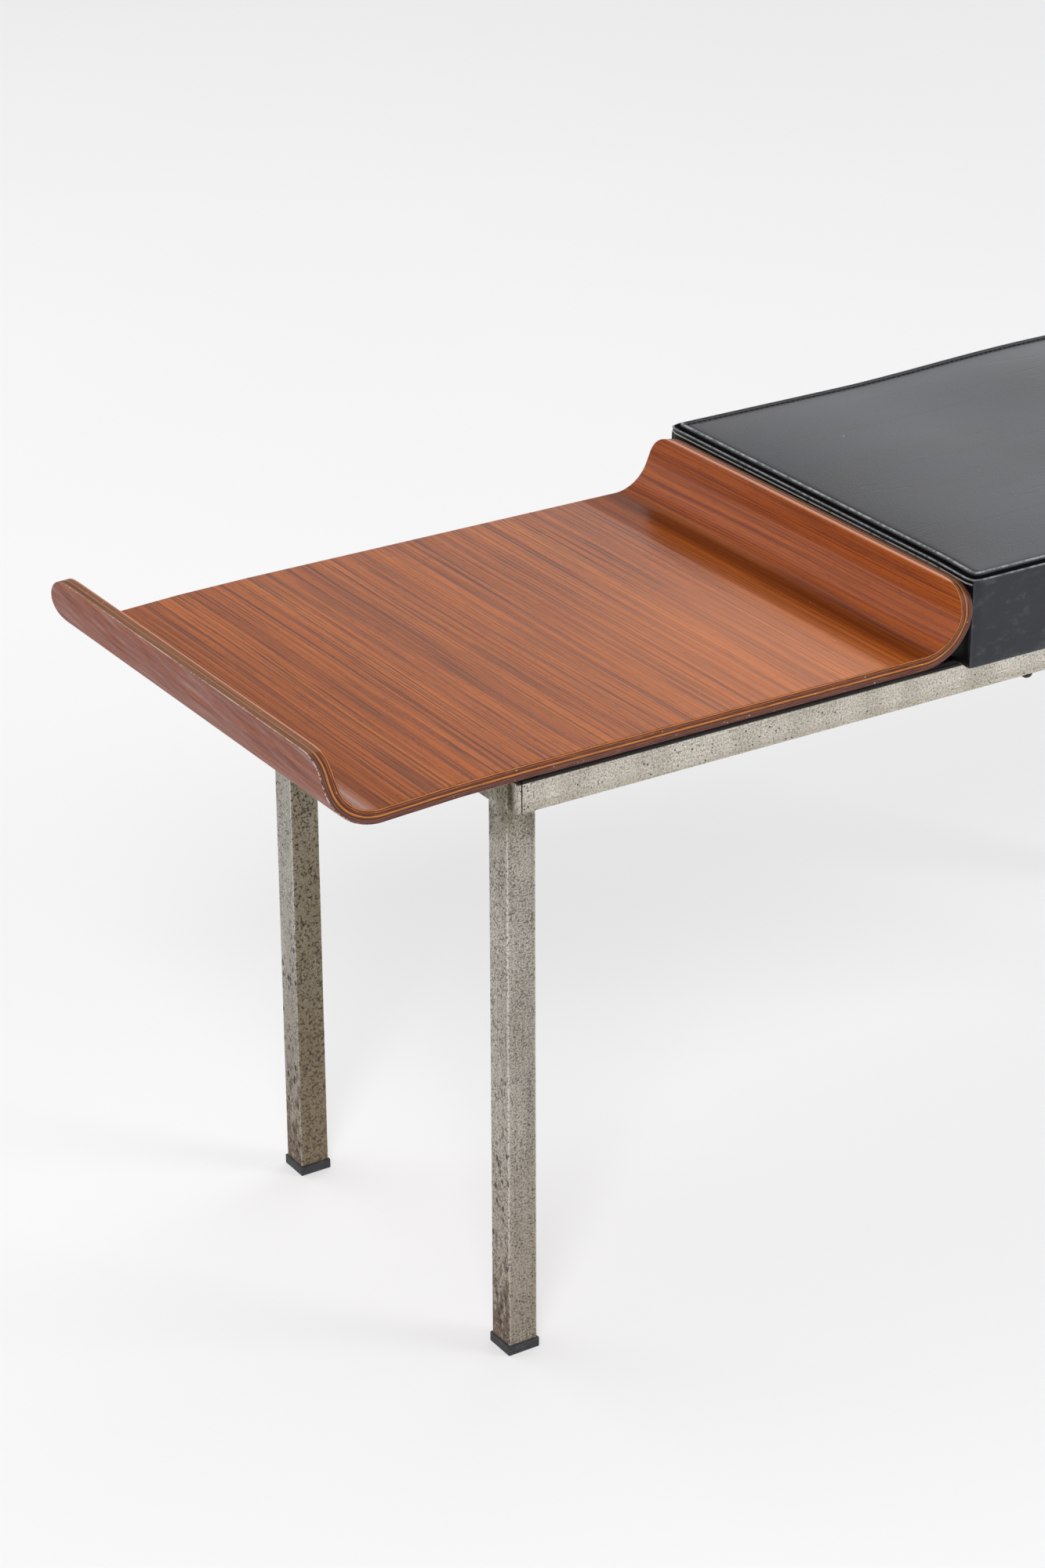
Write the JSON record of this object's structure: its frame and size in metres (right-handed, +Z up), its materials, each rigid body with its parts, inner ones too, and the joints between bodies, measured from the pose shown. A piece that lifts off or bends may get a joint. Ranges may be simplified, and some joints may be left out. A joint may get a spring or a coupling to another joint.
{
  "type": "bench",
  "caption": "Low bench on a plated square-tube frame, with a bent plywood tray at one end and a black upholstered seat at the other",
  "frame": {"origin": "on the floor, below the middle of the bench's length and depth", "axes": "+X along the bench from the tray towards the seat, -Y the front seen in the picture, +Z up"},
  "size_m": [1.0952, 0.343, 0.4655],
  "materials": {
    "plated_steel": "satin",
    "black_rubber": "matte",
    "veneered_plywood": "satin",
    "plain_wood": "matte",
    "board_plywood": "matte",
    "foam": "matte",
    "leatherette": "satin",
    "dust_cloth": "matte",
    "dark_screws": "satin"
  },
  "bodies": {
    "root": {"crossbar_left": "plated_steel", "crossbar_middle": "plated_steel", "crossbar_right": "plated_steel", "foot_back_left": "black_rubber", "foot_back_right": "black_rubber", "foot_front_left": "black_rubber", "foot_front_right": "black_rubber", "leg_back_left": "plated_steel", "leg_back_right": "plated_steel", "leg_front_left": "plated_steel", "leg_front_right": "plated_steel", "rail_back": "plated_steel", "rail_cap_back_left": "plated_steel", "rail_cap_back_right": "plated_steel", "rail_cap_front_left": "plated_steel", "rail_cap_front_right": "plated_steel", "rail_front": "plated_steel", "seat_board": "board_plywood", "seat_cover": "leatherette", "seat_dust_cover": "dust_cloth", "seat_foam": "foam", "seat_screws": "dark_screws", "seat_strip_back": "black_rubber", "seat_strip_front": "black_rubber", "seat_welt": "leatherette", "tray": "veneered_plywood", "tray_batten_left": "plain_wood", "tray_batten_middle": "plain_wood", "tray_screws": "dark_screws"}
  },
  "joints": []
}
